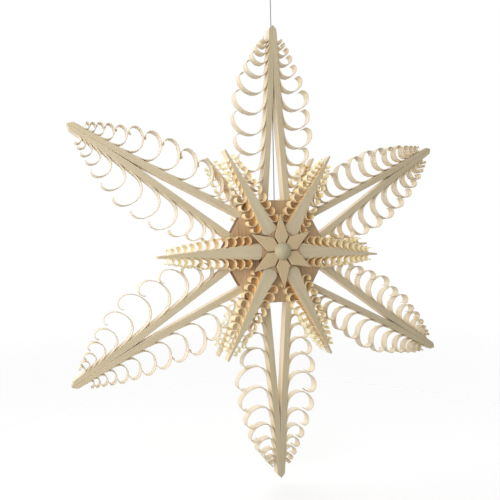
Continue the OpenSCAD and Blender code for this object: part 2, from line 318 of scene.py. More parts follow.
class ThreadSizes(bpy.types.PropertyGroup):
    """Sizes of the hanging thread and its knot."""

    width: size("Width", "Diameter of the thread", 1)
    hole_depth: size("Hole depth", "Depth of the thread hole in the hub", 10)
    knot_height: size("Knot height", "Height of the knot", 4)
    twist_pitch: size("Twist pitch", "Length of one turn of the plies", 3.2)


class StarColours(bpy.types.PropertyGroup):
    """Colours of the woods and of the thread."""

    # The faces are painted greyer, for the sheen that lit faces show; the cut edges are knife-cut wood and
    # are also painted paler and warmer, for the light that falls on the sides
    face_light: colour("Face, light", "Pale streaks of planed limewood", "#D4C7A9")
    face_dark: colour("Face, dark", "Deep streaks of planed limewood", "#C5B592")
    edge_light: colour("Edge, light", "Pale streaks of a cut edge", "#EEDFC4")
    edge_dark: colour("Edge, dark", "Deep streaks of a cut edge", "#E0CBA6")
    shaving_light: colour("Shaving, light", "Pale streaks of a shaving", "#E7DCC6")
    shaving_dark: colour("Shaving, dark", "Deep streaks of a shaving", "#DCCDB0")
    frill_light: colour("Frill, light", "Pale streaks of a small shaving", "#FFF5DC")
    frill_dark: colour("Frill, dark", "Deep streaks of a small shaving", "#FFEDC2")
    # Painted warm shade, deep gold, in the hollows of the small shavings near the core and in the notches
    # under them
    frill_painted_shade: colour("Frill, hollow", "Hollow side of a small shaving near the core", "#F0B240")
    gouge_light: colour("Gouge, light", "Pale streaks of the wood under small shavings", "#F2DCB4")
    gouge_dark: colour("Gouge, dark", "Deep streaks of the wood under small shavings", "#E8C898")
    # Painted shade for the roots of the shavings and the gaps in the spars; the dowel takes the same colour
    # for its real flecks
    painted_shade_and_fleck: colour("Crevice", "Crushed wood in the root of a shaving", "#84522A")
    hub_light: colour("Hub, light", "Pale streaks of the hub's face", "#C9B090")
    hub_dark: colour("Hub, dark", "Deep streaks of the hub's face", "#AE8F68")
    # The sawn sides of the hub and the petals are darker and browner than their faces
    sawn_light: colour("Sawn side, light", "Pale streaks of sawn end grain", "#93693E")
    sawn_dark: colour("Sawn side, dark", "Deep streaks of sawn end grain", "#75502A")
    petal_light: colour("Petal, early wood", "Wide pale lines of a petal", "#D1BB95")
    petal_dark: colour("Petal, late wood", "Fine dark lines of a petal", "#C7AE85")
    button_light: colour("Button, light", "Pale rings of a turned button", "#BDB494")
    button_dark: colour("Button, dark", "Deep rings of a turned button", "#B2A886")
    dowel: colour("Dowel", "Beech dowel", "#C79A6B")
    thread_light: colour("Thread, light", "Raised fibres of grey linen", "#A4ABB1")
    thread_dark: colour("Thread, dark", "Deep fibres of grey linen", "#767C82")


class StageSettings(bpy.types.PropertyGroup):
    """The camera's place, seen from the middle of the star, and the stage."""

    yaw: angle("Yaw", "Turn to the side", -22.23)
    pitch: angle("Pitch", "Height above level", -0.08)
    roll: angle("Roll", "Tilt about the line of sight", -1.11)
    distance: size("Distance", "From the camera to what it looks at", 455.5)
    aim_right: FloatProperty(
        name="Aim right", description="Shift of the aim to the right", default=-22.4 * MM, unit="LENGTH"
    )
    aim_up: FloatProperty(
        name="Aim up", description="Shift of the aim upwards", default=1.1 * MM, unit="LENGTH"
    )
    lens: FloatProperty(
        name="Lens", description="Focal length on the camera's sensor", default=36.86, unit="CAMERA"
    )
    floor_drop: size("Floor drop", "From the lowest point of the star to the floor", 6)
    floor: colour("Floor", "Matt white board", "#F4F5F5")
    floor_bounce: colour("Floor bounce", "Tone of the floor for the light it sends back", "#A0A0A0")


class StarSettings(bpy.types.PropertyGroup):
    """All settings of the star."""

    outer: PointerProperty(type=OuterRaySizes)
    inner: PointerProperty(type=InnerRaySizes)
    centre: PointerProperty(type=CentreSizes)
    thread: PointerProperty(type=ThreadSizes)
    colours: PointerProperty(type=StarColours)
    stage: PointerProperty(type=StageSettings)


# Materials


def add_node(tree, kind, settings=None, links=None):
    """Adds a node, sets its inputs or its own settings and links its inputs."""
    node = tree.nodes.new(kind)
    for key, value in (settings or {}).items():
        if isinstance(key, int) or key in node.inputs:
            node.inputs[key].default_value = value
        else:
            setattr(node, key, value)
    for key, socket in (links or {}).items():
        tree.links.new(socket, node.inputs[key])
    return node


def new_material(name):
    """An empty material with its output node."""
    material = bpy.data.materials.new(name)
    material.use_nodes = True
    tree = material.node_tree
    tree.nodes.clear()
    return material, tree, add_node(tree, "ShaderNodeOutputMaterial")


def grain_flecks(tree, where, along, across, detail=3.0, rough=0.5):
    """Noise that is drawn out along the grain, by the sizes of its flecks in millimetres."""
    stretched = add_node(
        tree,
        "ShaderNodeVectorMath",
        {"operation": "MULTIPLY", 1: (1 / along, 1 / across, 1 / across)},
        {0: where},
    )
    noise = add_node(
        tree,
        "ShaderNodeTexNoise",
        {"Scale": 1.0, "Detail": detail, "Roughness": rough},
        {"Vector": stretched.outputs[0]},
    )
    return noise.outputs["Fac"]


def wood(name, light, dark, painted_shade_and_fleck=None, gloss=0.3, rough=0.58, glow=0.0):
    """Limewood with fine straight grain, and painted shade mixed in where a shade colour is given. A glow
    above zero lets light through thin shavings.
    """
    material, tree, output = new_material(name)
    where = add_node(tree, "ShaderNodeAttribute", {"attribute_name": "grain"}).outputs["Vector"]
    streaks = grain_flecks(tree, where, *STREAKS)
    clouds = grain_flecks(tree, where, *CLOUDS, 2.0)
    fibres = grain_flecks(tree, where, *FIBRES, 4.0, 0.65)
    toned = []
    for flecks in (streaks, clouds):
        amount = add_node(
            tree, "ShaderNodeMapRange", {"From Min": 0.3, "From Max": 0.7}, {"Value": flecks}
        )
        tones = {"data_type": "RGBA", 6: tuple(light), 7: tuple(dark)}
        toned.append(add_node(tree, "ShaderNodeMix", tones, {0: amount.outputs[0]}).outputs[2])
    blended = add_node(
        tree, "ShaderNodeMix", {"data_type": "RGBA", 0: 0.35}, {6: toned[0], 7: toned[1]}
    )
    shade = add_node(
        tree,
        "ShaderNodeMapRange",
        {"From Min": 0.25, "From Max": 0.75, "To Min": 0.93, "To Max": 1.05},
        {"Value": fibres},
    )
    base = add_node(
        tree,
        "ShaderNodeMix",
        {"data_type": "RGBA", "blend_type": "MULTIPLY", 0: 1.0},
        {6: blended.outputs[2], 7: shade.outputs[0]},
    )
    # Painted shade: a mask on the points mixes the wood towards the shade colour in the hollows, roots and
    # gaps of shavings and spars
    if painted_shade_and_fleck is not None:
        depth = add_node(tree, "ShaderNodeAttribute", {"attribute_name": "painted_shade_and_fleck"})
        base = add_node(
            tree,
            "ShaderNodeMix",
            {"data_type": "RGBA", 7: tuple(painted_shade_and_fleck)},
            {0: depth.outputs["Fac"], 6: base.outputs[2]},
        )
    roughness = add_node(
        tree, "ShaderNodeMapRange", {"To Min": rough - 0.06, "To Max": rough + 0.08}, {"Value": fibres}
    )
    bump = add_node(tree, "ShaderNodeBump", {"Strength": 0.35, "Distance": 0.06 * MM}, {"Height": fibres})
    surface = add_node(
        tree,
        "ShaderNodeBsdfPrincipled",
        {
            "IOR": 1.5,
            "Specular IOR Level": gloss,
            "Subsurface Weight": glow,
            "Subsurface Radius": (1.0, 0.95, 0.75),
            "Subsurface Scale": 0.6 * MM,
        },
        {"Base Color": base.outputs[2], "Roughness": roughness.outputs[0], "Normal": bump.outputs[0]},
    )
    tree.links.new(surface.outputs[0], output.inputs[0])
    return material


def planed_limewood(colours):
    """Limewood, split and planed by hand: pale, close-grained and matt, and painted greyer than its sides for
    the sheen that lit faces show.
    """
    return wood("planed limewood", colours.face_light, colours.face_dark)


def cut_limewood(colours):
    """Limewood, cut with a knife along the grain: painted warmer and paler than the faces for the light that
    falls on the sides, with painted shade in the roots under the shavings.
    """
    return wood(
        "knife-cut limewood", colours.edge_light, colours.edge_dark, colours.painted_shade_and_fleck,
        gloss=0.5, rough=0.42,
    )


def gouged_limewood(colours):
    """Limewood, gouged out under the small shavings: raw, and deep in colour where painted shade from the
    shaving roots reaches into it.
    """
    return wood("gouged limewood", colours.gouge_light, colours.gouge_dark, colours.frill_painted_shade, rough=0.6)


def limewood_shaving(colours):
    """Limewood shaving, cut thin with a sharp iron: burnished, cream, and light shines through it."""
    return wood(
        "limewood shaving", colours.shaving_light, colours.shaving_dark, colours.painted_shade_and_fleck,
        gloss=0.4, rough=0.46, glow=0.45,
    )


def limewood_frill(colours):
    """Limewood shaving, cut thinner still: light comes through it, and painted shade turns its hollows near
    the core deep gold.
    """
    return wood(
        "thin limewood shaving", colours.frill_light, colours.frill_dark, colours.frill_painted_shade,
        gloss=0.35, rough=0.46, glow=0.7,
    )


def hub_limewood(colours):
    """Limewood board, sanded: a pinkish face with soft streaks."""
    return wood("sanded limewood board", colours.hub_light, colours.hub_dark)


def sawn_wood(colours):
    """Sawn sides of the hub and the petals: darker and browner than their faces, and dry."""
    return wood("sawn wood", colours.sawn_light, colours.sawn_dark, rough=0.7)


def turned_limewood(colours):
    """Limewood, turned and sanded: faint rings from the lathe and a soft sheen."""
    return wood("turned limewood", colours.button_light, colours.button_dark, gloss=0.4, rough=0.5)


def dowel_beech(colours):
    """Beech dowel, planed round: reddish, with short dark flecks along it."""
    material, tree, output = new_material("beech dowel")
    place = add_node(tree, "ShaderNodeTexCoord").outputs["Object"]
    along, across = (1 / (width * MM) for width in BEECH_FLECKS)
    stretched = add_node(
        tree, "ShaderNodeVectorMath", {"operation": "MULTIPLY", 1: (across, along, across)}, {0: place}
    )
    flecks = add_node(
        tree, "ShaderNodeTexNoise", {"Scale": 1.0, "Detail": 3.0}, {"Vector": stretched.outputs[0]}
    )
    base = add_node(
        tree,
        "ShaderNodeMix",
        {"data_type": "RGBA", 6: tuple(colours.dowel), 7: tuple(colours.painted_shade_and_fleck)},
        {0: flecks.outputs["Fac"]},
    )
    surface = add_node(
        tree, "ShaderNodeBsdfPrincipled", {"Roughness": 0.6, "IOR": 1.5}, {"Base Color": base.outputs[2]}
    )
    tree.links.new(surface.outputs[0], output.inputs[0])
    return material


def petal_spruce(colours):
    """Spruce veneer, sawn and sanded: wide pale early wood and fine dark lines of late wood."""
    material, tree, output = new_material("sanded spruce")
    where = add_node(tree, "ShaderNodeAttribute", {"attribute_name": "grain"}).outputs["Vector"]
    bend = grain_flecks(tree, where, *SPRUCE_SWAYS, 1.0)
    across = add_node(tree, "ShaderNodeSeparateXYZ", {}, {0: where}).outputs[1]
    swayed = add_node(
        tree, "ShaderNodeMath", {"operation": "MULTIPLY_ADD", 1: SPRUCE_SWAY}, {0: bend, 2: across}
    )
    rings = add_node(
        tree, "ShaderNodeMath", {"operation": "DIVIDE", 1: SPRUCE_RING}, {0: swayed.outputs[0]}
    )
    year = add_node(tree, "ShaderNodeMath", {"operation": "FRACT"}, {0: rings.outputs[0]})
    late = add_node(tree, "ShaderNodeValToRGB", {}, {"Fac": year.outputs[0]})
    stops = late.color_ramp.elements
    stops[0].position, stops[0].color = 0.45, (0, 0, 0, 1)
    stops[1].position, stops[1].color = 0.86, (1, 1, 1, 1)
    fall = stops.new(1.0)
    fall.color = (0.05, 0.05, 0.05, 1)
    lines = add_node(
        tree,
        "ShaderNodeMix",
        {"data_type": "RGBA", 6: tuple(colours.petal_light), 7: tuple(colours.petal_dark)},
        {0: late.outputs[0]},
    )
    shade = add_node(
        tree,
        "ShaderNodeMapRange",
        {"To Min": 0.9, "To Max": 1.06},
        {"Value": grain_flecks(tree, where, *FIBRES, 4.0, 0.65)},
    )
    base = add_node(
        tree,
        "ShaderNodeMix",
        {"data_type": "RGBA", "blend_type": "MULTIPLY", 0: 1.0},
        {6: lines.outputs[2], 7: shade.outputs[0]},
    )
    bump = add_node(
        tree, "ShaderNodeBump", {"Strength": 0.4, "Distance": 0.08 * MM}, {"Height": late.outputs[0]}
    )
    surface = add_node(
        tree,
        "ShaderNodeBsdfPrincipled",
        {"Roughness": 0.6, "IOR": 1.5, "Specular IOR Level": 0.3},
        {"Base Color": base.outputs[2], "Normal": bump.outputs[0]},
    )
    tree.links.new(surface.outputs[0], output.inputs[0])
    return material


def linen_thread(colours):
    """Linen thread, two plies twisted: grey and dull, with loose fibres along the plies."""
    material, tree, output = new_material("grey linen thread")
    where = add_node(tree, "ShaderNodeAttribute", {"attribute_name": "grain"}).outputs["Vector"]
    fibres = grain_flecks(tree, where, *LINEN_FIBRES)
    raised = add_node(
        tree, "ShaderNodeMapRange", {"From Min": 0.3, "From Max": 0.7}, {"Value": fibres}
    )
    base = add_node(
        tree,
        "ShaderNodeMix",
        {"data_type": "RGBA", 6: tuple(colours.thread_light), 7: tuple(colours.thread_dark)},
        {0: raised.outputs[0]},
    )
    bump = add_node(tree, "ShaderNodeBump", {"Strength": 0.5, "Distance": 0.04 * MM}, {"Height": fibres})
    surface = add_node(
        tree,
        "ShaderNodeBsdfPrincipled",
        {"Roughness": 0.8, "Sheen Weight": 0.2},
        {"Base Color": base.outputs[2], "Normal": bump.outputs[0]},
    )
    tree.links.new(surface.outputs[0], output.inputs[0])
    return material


def finish_of(make, colours):
    """The material that a function makes, made once."""
    key = "finish_" + make.__name__
    for material in bpy.data.materials:
        if material.get("finish") == key:
            return material
    material = make(colours)
    material["finish"] = key
    return material


# Shapes


@dataclass
class RimPoint:
    """A point on the rim of a strip of wood, in the strip's own plane, with Y towards its point.

    It has one place on the strip's wall and one on its faces, inside the worn edge, and keeps
    its place along and across the grain. Cone, lift and width let a shaving spread, slide and
    narrow from front to back.
    """

    wall: Vector
    face: Vector
    along: float
    across: float
    # How much painted shade the point carries
    painted_shade_and_fleck: float = 0.0
    cone: Vector = None
    lift: float = 0.0
    width: float = 1.0
    shaving: int = -1
    step: int = -1
    part: str = "body"


def wobble(a, b):
    """A repeatable value from -1 to 1, which makes no two shavings alike."""
    v = math.sin(math.radians(a * 127.1 + b * 311.7)) * 43758.5453
    return 2 * (v - math.floor(v)) - 1


def bend_path(bend, facet):
    """Points along a bend of size one as (outwards, along the wood, heading, length so far)."""
    x, y, heading, length = 0.0, 0.0, math.radians(ROOT_ANGLE), 0.0
    path = [(x, y, heading, length)]
    for turn, radius in bend:
        steps = math.ceil(turn / facet)
        step = math.radians(turn) / steps
        for _ in range(steps):
            chord = 2 * radius * math.sin(step / 2)
            x += chord * math.sin(heading + step / 2)
            y += chord * math.cos(heading + step / 2)
            heading += step
            length += radius * step
            path.append((x, y, heading, length))
    return path


def hooked(bend, strength):
    """A bend whose last rows turn more or less than drawn."""
    return (*bend[:-HOOK_ROWS], *((turn * strength, radius) for turn, radius in bend[-HOOK_ROWS:]))


def row_reach(x, row, high, fullest):
    """Reach of a shaving at a share of its row, which swells to its fullest part and falls again."""
    base = row.tip_reach + (row.foot_reach - row.tip_reach) * x
    if x < fullest:
        swell = x / fullest / 2
    else:
        swell = 0.5 + (x - fullest) / (1 - fullest) / 2
    return base + (high - base) * max(math.sin(math.pi * swell), 0) ** SWELL_POWER


def shaving_row(row, length, high, fullest, seed):
    """Distances from the point and reaches of the shavings along a strip of one length."""
    start, end = row.tip_bare, length - row.foot_bare
    found, u, reach = [], start, row.tip_reach
    while u < end:
        found.append((u, reach))
        u += row.pitch * reach
        x = min((u - start) / (end - start), 1)
        reach = row_reach(x, row, high * (1 + REACH_STRAY * wobble(seed, len(found))), fullest)
    return found


def shaving_rim(root, lean, reach, row, bend, facet, seed, number, along, tone):
    """Rim points of one shaving: out along its hollow side, round its end and back to the narrow gap at its
    root.
    """
    hook = [
        (turn * (1 + HOOK_STRAY * wobble(seed + 3, number + i)), radius)
        for i, (turn, radius) in enumerate(bend[-HOOK_ROWS:])
    ]
    path = bend_path((*bend[:-HOOK_ROWS], *hook), facet)
    scale = reach / max(x for x, _, _, _ in path)
    half_root = row.thickness / 2
    last = len(path) - 1
    start = root - Vector((half_root, 0))
    turn = Matrix.Rotation(lean, 2) @ Matrix(((1, 0), (0, -1)))
    # Each stray has a seed of its own
    cone = CONE_STRAY * wobble(seed + 5, number)
    skew = SKEW_STRAY * wobble(seed + 7, number)
    narrowing = NARROWING * (1 + wobble(seed + 9, number)) / 2
    phase = math.pi * wobble(seed + 11, number)
    hollow, convex = [], []
    for i, (x, y, heading, length) in enumerate(path):
        run = i / last
        half = half_root * (1 - END_THINNING * run)
        middle = start + turn @ Vector((x, y)) * scale
        side = turn @ Vector((math.cos(heading), -math.sin(heading)))
        skin = EDGE_WEAR * half
        wave = EDGE_WAVE * math.sin(EDGE_WAVE_TURN * run + phase)
        common = {
            "along": along + length * scale,
            "cone": (middle - start) * cone * run,
            "lift": skew * run**SKEW_POWER,
            "width": 1 - narrowing * run + wave * run,
            "shaving": number,
            "step": i,
        }
        # Painted shade: the hollow side carries the shaving's share, fading towards the free end; the outer
        # side carries a part of it, and its root a painted shade that is gone after a step or two
        root_shade = ROOT_SHADE * min(reach / row.reach, 1) - ROOT_SHADE_FADE * i
        hollow.append(
            RimPoint(
                middle + side * half, middle + side * (half - skin), across=root.x,
                painted_shade_and_fleck=tone * (1 - HOLLOW_SHADE_FADE * run), part="hollow", **common,
            )
        )
        convex.append(
            RimPoint(
                middle - side * half, middle - side * (half - skin), across=root.x - row.thickness,
                painted_shade_and_fleck=max(CONVEX_SHADE * tone, root_shade), part="convex", **common,
            )
        )
    ahead = turn @ Vector((math.sin(heading), math.cos(heading)))
    tip = middle + ahead * half * END_ROUNDING
    end = RimPoint(tip, tip - ahead * skin, across=root.x, part="end", **common)
    return hollow, end, convex


def edge_rim(row, edge, length, high, fullest, bend, facet, seed, first_number, tone=0.0):
    """Rim points down the right-hand edge of a strip. The hollows get deeper painted shade towards its foot.
    """
    shavings = shaving_row(row, length, high, fullest, seed)
    rim = []

    def bare(u, inset=0.0, part="body"):
        place, lean = edge(u)
        inwards = Vector((-math.cos(lean), -math.sin(lean)))
        wall = place + inwards * inset
        rim.append(RimPoint(wall, wall + inwards * row.bevel, along=u, across=wall.x, part=part))

    for point in TIP_POINTS:
        bare(shavings[0][0] * point)
    for number, (u, reach) in enumerate(shavings):
        root, lean = edge(u)
        # Painted shade of this shaving's hollow, deeper towards the foot of the strip
        depth = tone * (u / length) ** SHADE_POWER
        hollow, end, convex = shaving_rim(
            root, lean, reach, row, bend, facet, seed, first_number + number, u, depth
        )
        inwards = Vector((-math.cos(lean), -math.sin(lean)))
        to_tip = Vector((-math.sin(lean), math.cos(lean)))
        hollow[0].wall = root.copy()
        hollow[0].face = root + inwards * row.bevel
        convex[0].wall = root + inwards * row.thickness
        convex[0].face = convex[0].wall + to_tip * row.bevel
        rim += [*hollow, end, *reversed(convex)]
        ahead = shavings[number + 1][0] if number + 1 < len(shavings) else u + row.pitch * reach
        bare(u + (ahead - u) * NOTCH_SHARE, row.thickness, "notch")
        if number + 1 == len(shavings):
            bare(min(ahead, length - row.foot_bare / 2))
    return rim


def mitred(corners, distance):
    """The corners of a closed outline moved inwards by a distance, whichever way round it runs."""
    count = len(corners)
    area = sum(corners[i - 1].cross(corners[i]) for i in range(count))
    turn = 1 if area > 0 else -1
    moved = []
    for i, corner in enumerate(corners):
        before = (corner - corners[i - 1]).normalized()
        after = (corners[(i + 1) % count] - corner).normalized()
        inwards = [Vector((-d.y, d.x)) * turn for d in (before, after)]
        middle = (inwards[0] + inwards[1]).normalized()
        moved.append(corner + middle * distance / max(middle.dot(inwards[0]), SHARPEST_MITRE))
    return moved


def corner_points(corners, bevel, tip_y):
    """Rim points of a plain outline."""
    return [
        RimPoint(corner, inner, along=tip_y - corner.y, across=corner.x)
        for corner, inner in zip(corners, mitred(corners, bevel))
    ]


def mirrored(rim):
    """A rim seen in a mirror, still running the same way round."""
    for p in rim:
        for v in (p.wall, p.face, p.cone):
            if v is not None:
                v.x = -v.x
        p.across = -p.across
    return rim[::-1]


def ring_faces(rings, sides, closed=False):
    """Faces between neighbouring rings of points, and from the last to the first where closed."""
    faces = []
    for ring in range(rings if closed else rings - 1):
        a, b = ring * sides, (ring + 1) % rings * sides
        for i in range(sides):
            j = (i + 1) % sides
            faces.append((a + i, a + j, b + j, b + i))
    return faces


def tube_faces(rings, sides):
    """Faces of a tube through rings of points, with both ends shut."""
    last = (rings - 1) * sides
    return [*ring_faces(rings, sides), range(sides), range(last, last + sides)]


def solid(name, points, faces, grains, materials, slots=None, painted_shades=None):
    """An object in the scene, with clean normals and crisp corners.

    Each point keeps its place in the wood, in millimetres, and how much painted shade it carries.
    """
    mesh = bpy.data.meshes.new(name)
    mesh.from_pydata(points, [], faces)
    if slots is not None:
        mesh.polygons.foreach_set("material_index", slots)
    grain = mesh.attributes.new("grain", "FLOAT_VECTOR", "POINT")
    grain.data.foreach_set("vector", [c / MM for place in grains for c in place])
    if painted_shades is not None:
        painted_shade_and_fleck = mesh.attributes.new("painted_shade_and_fleck", "FLOAT", "POINT")
        painted_shade_and_fleck.data.foreach_set("value", painted_shades)
    build = bmesh.new()
    build.from_mesh(mesh)
    bmesh.ops.recalc_face_normals(build, faces=build.faces)
    build.to_mesh(mesh)
    build.free()
    mesh.set_sharp_from_angle(angle=SHARP_ANGLE)
    for material in materials:
        mesh.materials.append(material)
    piece = bpy.data.objects.new(name, mesh)
    bpy.context.scene.collection.objects.link(piece)
    return piece


def strip_piece(name, rim, depth, level, bevel, place, seed, materials, rear_slot=FACE):
    """A strip of wood of one depth round a rim, with its shavings, on bevelled faces."""
    rings = (
        (depth / 2, 1, True), (depth / 2 - bevel, 1, False),
        (bevel - depth / 2, -1, False), (-depth / 2, -1, True),
    )
    count = len(rim)
    points, grains, painted_shades = [], [], []
    for height, towards, on_face in rings:
        for p in rim:
            flat = p.face if on_face else p.wall
            if p.cone is not None:
                flat = flat + p.cone * towards
            up = height * p.width + p.lift
            points.append(place @ Vector((flat.x, flat.y, level + up)))
            grains.append((p.along + seed * GRAIN_SHIFT[0], p.across + seed * GRAIN_SHIFT[1], up))
            # Painted shade: in full on the wall rings, at a share on the face rings of the shavings, none on
            # the face rings of the body
            if not on_face:
                painted_shades.append(p.painted_shade_and_fleck)
            elif p.shaving >= 0:
                painted_shades.append(p.painted_shade_and_fleck * EDGE_SHADE)
            else:
                painted_shades.append(0.0)
    faces, slots = ring_faces(len(rings), count), []
    for ring in range(len(rings) - 1):
        for p, q in zip(rim, (*rim[1:], rim[0])):
            if "notch" in (p.part, q.part):
                slots.append(NOTCH)
            elif p.shaving >= 0 and p.shaving == q.shaving:
                slots.append(SHAVING)
            else:
                slots.append(EDGE if ring == 1 else FACE)
    steps = {(p.shaving, p.part, p.step): i for i, p in enumerate(rim) if p.shaving >= 0}
    body = [i for i, p in enumerate(rim) if p.shaving < 0 or (p.step == 0 and p.part != "end")]
    caps = [(body, FACE)]
    for (number, part, step), i in steps.items():
        if part == "hollow" and (number, part, step + 1) in steps:
            ahead = [steps[number, side, step + 1] for side in ("hollow", "convex")]
            caps.append(((i, *ahead, steps[number, "convex", step]), CUT_EDGE))
        elif part == "end":
            caps.append(((steps[number, "hollow", step], i, steps[number, "convex", step]), CUT_EDGE))
    for base in (0, (len(rings) - 1) * count):
        for face, slot in caps:
            faces.append([base + i for i in face])
            slots.append(rear_slot if base and slot == FACE else slot)
    return solid(name, points, faces, grains, materials, slots, painted_shades)


def star_place(side="front", hour=0, back_turn=0.0):
    """From a strip's own plane, with its front upwards, to its place on the hanging star."""
    place = Matrix.Translation((0, 0, STAR_Z)) @ Matrix.Rotation(math.pi / 2, 4, "X")
    if side == "back":
        place = place @ Matrix.Rotation(back_turn, 4, "Z") @ Matrix.Scale(-1, 4, (0, 0, 1))
    return place @ Matrix.Rotation(-HOUR_TURN * hour, 4, "Z")


def seat(piece, body, node):
    """Puts a piece on its body in place of its node."""
    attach(piece, body)
    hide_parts(node)


def board_piece(name, width, turn, bore, level, thickness, bevel, place, materials):
    """A hexagonal board with a round hole and bevelled edges."""
    per_side = 8
    corner_r = width / math.sqrt(3)
    corners = [
        Vector((math.cos(turn + k * math.pi / 3), math.sin(turn + k * math.pi / 3))) * corner_r
        for k in range(6)
    ]

    def hexagon(points):
        return [
            points[k].lerp(points[(k + 1) % 6], i / per_side) for k in range(6) for i in range(per_side)
        ]

    outer, inner = hexagon(corners), hexagon(mitred(corners, bevel))
    hole = [p.normalized() * bore / 2 for p in outer]
    half = thickness / 2
    loops = (
        (hole, half), (inner, half), (outer, half - bevel),
        (outer, bevel - half), (inner, -half), (hole, -half),
    )
    points, grains = [], []
    for loop, height in loops:
        for p in loop:
            points.append(place @ Vector((p.x, p.y, level + height)))
            grains.append((p.y, p.x, height))
    # The third band of faces is the sawn side
    slots = [EDGE if k == 2 else FACE for k in range(len(loops)) for _ in outer]
    faces = ring_faces(len(loops), len(outer), closed=True)
    return solid(name, points, faces, grains, materials, slots)


def turned_piece(name, profile, level, place, materials):
    """A body turned on the lathe from (radius, height) points that start and end on its axis."""
    sides = 64
    drift = 0.25
    points, grains = [], []
    for radius, height in profile:
        for k in range(sides):
            around = 2 * math.pi * k / sides
            flat = Vector((math.cos(around), math.sin(around))) * radius
            points.append(place @ Vector((flat.x, flat.y, level + height)))
            # The streaks follow the rings of the lathe and drift a little from side to side
            grains.append((flat.x * drift, radius, height))
    return solid(name, points, tube_faces(len(profile), sides), grains, materials)


def thread_piece(name, route, width, pitch, materials):
    """Two twisted plies along a route, as one closed tube with a waisted section."""
    sides = 12
    waist = 0.24
    points, grains = [], []
    length, side = 0.0, Vector((0, 1, 0))
    for i, middle in enumerate(route):
        before, after = route[max(i - 1, 0)], route[min(i + 1, len(route) - 1)]
        run = (after - before).normalized()
        length += (middle - before).length
        side = (side - run * side.dot(run)).normalized()
        across = run.cross(side)
        for k in range(sides):
            around = 2 * math.pi * k / sides
            lobe = width / 2 * (1 - waist * (1 - math.cos(2 * around)) / 2)
            turned = around + 2 * math.pi * length / pitch
            points.append(middle + (side * math.cos(turned) + across * math.sin(turned)) * lobe)
            grains.append((length, lobe * math.cos(around), lobe * math.sin(around)))
    return solid(name, points, tube_faces(len(route), sides), grains, materials)


def smooth_route(points, step):
    """A smooth line through a cord's points, with points about one step apart."""
    line = []
    for i in range(len(points) - 1):
        p0, p1 = points[max(i - 1, 0)], points[i]
        p2, p3 = points[i + 1], points[min(i + 2, len(points) - 1)]
        count = max(2, math.ceil((p2 - p1).length / step))
        for k in range(count):
            t = k / count
            line.append(
                0.5
                * (
                    2 * p1
                    + (p2 - p0) * t
                    + (2 * p0 - 5 * p1 + 4 * p2 - p3) * t**2
                    + (3 * p1 - p0 - 3 * p2 + p3) * t**3
                )
            )
    return [*line, points[-1]]


# Operators


